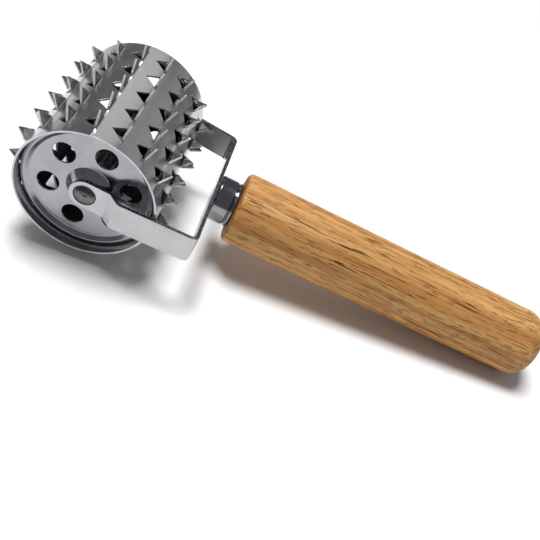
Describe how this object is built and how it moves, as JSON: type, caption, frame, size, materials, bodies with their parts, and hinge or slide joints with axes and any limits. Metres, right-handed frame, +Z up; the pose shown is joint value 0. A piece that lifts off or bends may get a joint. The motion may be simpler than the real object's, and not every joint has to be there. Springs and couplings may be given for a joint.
{
  "type": "rolling meat tenderizer",
  "caption": "Hand-held rolling meat tenderizer: a toothed steel drum that turns on an axle in a bent steel yoke, with a polished ferrule and a straight turned wooden handle.",
  "frame": {"origin": "middle of the box that the tool fills when it is laid down, on the surface it lies on", "axes": "+X towards the far end of the handle, +Y along the drum's axle, +Z up"},
  "size_m": [0.231, 0.0762, 0.0638],
  "materials": {
    "drum_steel": "satin sheet steel with bright sheared edges",
    "disc_steel": "satin pressed sheet steel",
    "axle_steel": "plain turned steel",
    "yoke_steel": "polished strip steel with fine grain",
    "ferrule_steel": "polished",
    "handle_wood": "oiled open-pored hardwood"
  },
  "bodies": {
    "frame": {"yoke": "yoke_steel", "ferrule": "ferrule_steel", "handle_stud": "axle_steel", "handle": "handle_wood"},
    "roller": {"drum_shell": "drum_steel", "near_end_disc": "disc_steel", "far_end_disc": "disc_steel", "axle": "axle_steel"}
  },
  "joints": [
    {"name": "drum_spin", "type": "hinge", "parent": "frame", "child": "roller", "pos_m": [-0.0835, 0, 0.0319], "axis": [0, 1, 0], "continuous": true}
  ]
}
